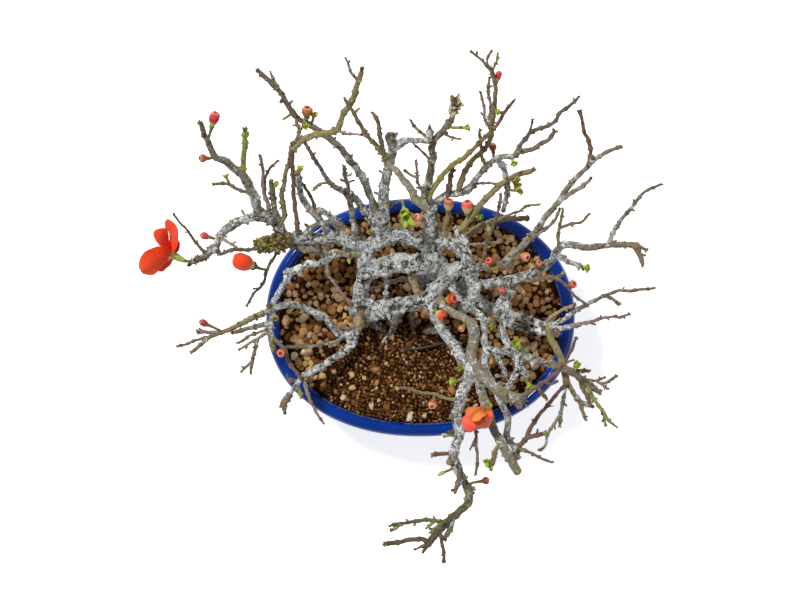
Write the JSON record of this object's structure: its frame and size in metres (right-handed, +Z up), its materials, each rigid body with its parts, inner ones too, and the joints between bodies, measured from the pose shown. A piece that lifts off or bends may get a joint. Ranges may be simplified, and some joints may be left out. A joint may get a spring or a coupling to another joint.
{
  "type": "chojubai flowering quince bonsai",
  "caption": "Dwarf flowering quince bonsai in a blue-glazed oval pot: pale gnarled limbs spread wide over the rim, with red buds, an open flower and small green leaf tufts.",
  "frame": {"origin": "centre of the underside of the whole object's box, on the surface that the pot's feet stand on", "axes": "+Z up, +X along the pot's length to the right of the picture, +Y along its width towards the picture's top, which is the back"},
  "size_m": [0.2714, 0.2642, 0.1783],
  "materials": {
    "glaze": "gloss",
    "soil": "matte",
    "bark": "matte",
    "bud": "satin",
    "petal": "satin",
    "cup": "satin",
    "stamen": "matte",
    "leaf": "satin",
    "screen": "matte",
    "wire": "satin"
  },
  "bodies": {
    "root": {"bud_back_brown": "bud", "bud_back_centre": "bud", "bud_back_coral": "bud", "bud_back_high": "bud", "bud_back_orange": "bud", "bud_back_peach": "bud", "bud_back_upright": "bud", "bud_centre_orange": "bud", "bud_centre_red": "bud", "bud_far_right": "bud", "bud_front_cascade": "bud", "bud_front_small": "bud", "bud_left_back": "bud", "bud_left_fan": "bud", "bud_left_large": "bud", "bud_left_rim": "bud", "bud_left_side": "bud", "bud_left_spur": "bud", "bud_over_soil": "bud", "bud_right_brown": "bud", "bud_right_orange": "bud", "bud_right_ring": "bud", "bud_right_small": "bud", "drain_screen_left": "screen", "drain_screen_right": "screen", "flower_half_calyx": "cup", "flower_half_petals": "petal", "flower_open_calyx": "cup", "flower_open_petals": "petal", "flower_open_stamens": "stamen", "leaf_back_long": "leaf", "leaf_back_orange": "leaf", "leaf_back_twig": "leaf", "leaf_by_flower": "leaf", "leaf_cascade": "leaf", "leaf_centre_right": "leaf", "leaf_front_cluster": "leaf", "leaf_front_limb": "leaf", "leaf_left_inner": "leaf", "leaf_left_joint": "leaf", "leaf_left_sprig": "leaf", "leaf_limb_end": "leaf", "leaf_long_end": "leaf", "leaf_long_limb": "leaf", "leaf_pink_tip": "leaf", "leaf_right_orange": "leaf", "leaf_right_spur": "leaf", "leaf_shoot": "leaf", "leaf_stem_L": "leaf", "leaf_stem_foot": "leaf", "leaf_stem_right": "leaf", "leaf_stem_top": "leaf", "leaf_twig": "leaf", "leaf_white_left": "leaf", "pot": "glaze", "soil": "soil", "tie_wire": "wire", "tree": "bark"}
  },
  "joints": []
}
